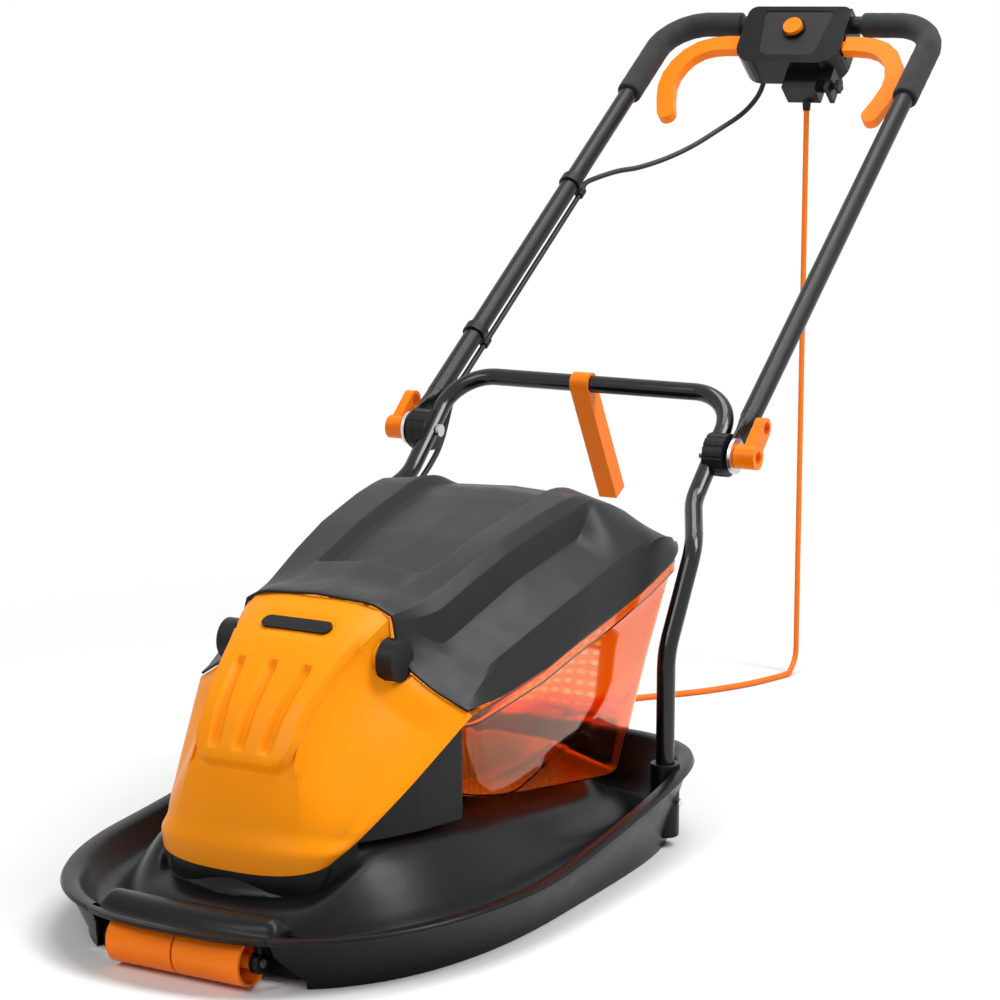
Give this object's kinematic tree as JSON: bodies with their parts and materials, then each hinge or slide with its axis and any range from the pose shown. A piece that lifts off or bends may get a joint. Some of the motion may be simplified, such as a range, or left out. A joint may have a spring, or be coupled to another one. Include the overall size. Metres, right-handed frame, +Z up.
{
  "type": "hover mower",
  "caption": "Electric hover mower with a domed deck, front rollers, lift-lid grass box, orange hood, blade and fan on a motor, and a folding U handle with a switch box and mains lead.",
  "frame": {"origin": "middle of the machine on the floor, measured without its mains lead", "axes": "+Z up; -Y towards the front rollers, +Y towards the handle; +X to the right as seen from the front"},
  "size_m": [0.474, 1.4015, 0.842],
  "materials": {
    "black_plastic": "satin",
    "dark_plastic": "fine texture",
    "gloss_black": "gloss",
    "orange_plastic": "satin",
    "clear_orange": "clear, tinted",
    "tube_paint": "gloss paint",
    "foam": "matt foam",
    "steel": "plain",
    "zinc": "zinc plated",
    "iron_core": "varnished",
    "cable_rubber": "matt",
    "lead_rubber": "matt"
  },
  "bodies": {
    "chassis": {"deck": "black_plastic", "motor_housing": "dark_plastic", "hood": "orange_plastic", "badge_plate": "dark_plastic", "grass_box": "clear_orange", "front_bar": "black_plastic", "roller_axle": "steel", "lower_handle": "tube_paint", "leg_screws": "zinc", "ratchet_inner_left": "black_plastic", "ratchet_inner_right": "black_plastic", "pivot_bolts": "zinc", "motor_plate": "steel", "motor_can": "steel", "upper_bearing": "steel", "lower_bearing": "steel", "plate_screws": "zinc", "hood_screws": "zinc", "hinge_pins": "steel", "switch_cable_lower": "cable_rubber", "mains_coil": "lead_rubber", "coil_tie": "black_plastic", "mains_plug": "black_plastic"},
    "left_roller": {"roller_left": "orange_plastic"},
    "right_roller": {"roller_right": "orange_plastic"},
    "blade_set": {"motor_shaft": "steel", "rotor_core": "iron_core", "impeller_fan": "black_plastic", "height_spacers": "orange_plastic", "blade": "steel", "blade_bolt": "steel"},
    "lid_group": {"lid": "dark_plastic", "hinge_caps": "dark_plastic", "lid_knob": "dark_plastic"},
    "prop": {"lid_prop": "orange_plastic"},
    "upper_frame": {"upper_handle": "tube_paint", "foam_grip_left": "foam", "foam_grip_right": "foam", "ratchet_outer_left": "black_plastic", "ratchet_outer_right": "black_plastic", "clamp_washers": "zinc", "switch_box_top": "gloss_black", "switch_box_bottom": "gloss_black", "panel_plate": "dark_plastic", "button_ring": "gloss_black", "microswitch": "black_plastic", "lever_shaft": "steel", "box_screws": "zinc", "cable_gland": "black_plastic", "cable_hook": "black_plastic", "cable_clips": "black_plastic", "switch_cable_upper": "cable_rubber", "mains_drop": "lead_rubber", "button_spring": "steel"},
    "left_knob": {"clamp_knob_left": "orange_plastic"},
    "right_knob": {"clamp_knob_right": "orange_plastic"},
    "button": {"start_button": "orange_plastic"},
    "left_lever": {"lever_left": "orange_plastic"},
    "right_lever": {"lever_right": "orange_plastic"}
  },
  "joints": [
    {"name": "left_roller_spin", "type": "hinge", "parent": "chassis", "child": "left_roller", "pos_m": [-0.036, -0.66275, 0.0245], "axis": [1, 0, 0], "continuous": true},
    {"name": "right_roller_spin", "type": "hinge", "parent": "chassis", "child": "right_roller", "pos_m": [0.036, -0.66275, 0.0245], "axis": [1, 0, 0], "continuous": true},
    {"name": "blade_spin", "type": "hinge", "parent": "chassis", "child": "blade_set", "pos_m": [0, -0.46075, 0.06], "axis": [0, 0, 1], "continuous": true},
    {"name": "lid_hinge", "type": "hinge", "parent": "chassis", "child": "lid_group", "pos_m": [0, -0.45075, 0.252], "axis": [1, 0, 0], "range_deg": [0, 65]},
    {"name": "prop_swing", "type": "hinge", "parent": "chassis", "child": "prop", "pos_m": [-0.013, 0.11625, 0.434], "axis": [1, 0, 0], "range_deg": [-55, 40]},
    {"name": "handle_fold", "type": "hinge", "parent": "chassis", "child": "upper_frame", "pos_m": [0, 0.05625, 0.37849], "axis": [1, 0, 0], "range_deg": [0, 135]},
    {"name": "left_knob_turn", "type": "hinge", "parent": "chassis", "child": "left_knob", "pos_m": [-0.2134, 0.05625, 0.37849], "axis": [1, 0, 0], "continuous": true},
    {"name": "right_knob_turn", "type": "hinge", "parent": "chassis", "child": "right_knob", "pos_m": [0.2134, 0.05625, 0.37849], "axis": [1, 0, 0], "continuous": true},
    {"name": "start_button_push", "type": "slide", "parent": "upper_frame", "child": "button", "axis": [0, 0.769, -0.6393], "range_m": [0, 0.004], "stiffness_N_per_m": 400, "springref_m": -0.004, "deforming": ["button_spring"]},
    {"name": "left_lever_pull", "type": "hinge", "parent": "upper_frame", "child": "left_lever", "pos_m": [-0.06, 0.649, 0.79278], "axis": [-1, 0, 0], "range_deg": [0, 11.5], "stiffness_Nm_per_rad": 0.4, "springref_deg": -17.19},
    {"name": "right_lever_pull", "type": "hinge", "parent": "upper_frame", "child": "right_lever", "pos_m": [0.06, 0.649, 0.79278], "axis": [-1, 0, 0], "range_deg": [0, 11.5], "stiffness_Nm_per_rad": 0.4, "springref_deg": -17.19}
  ]
}
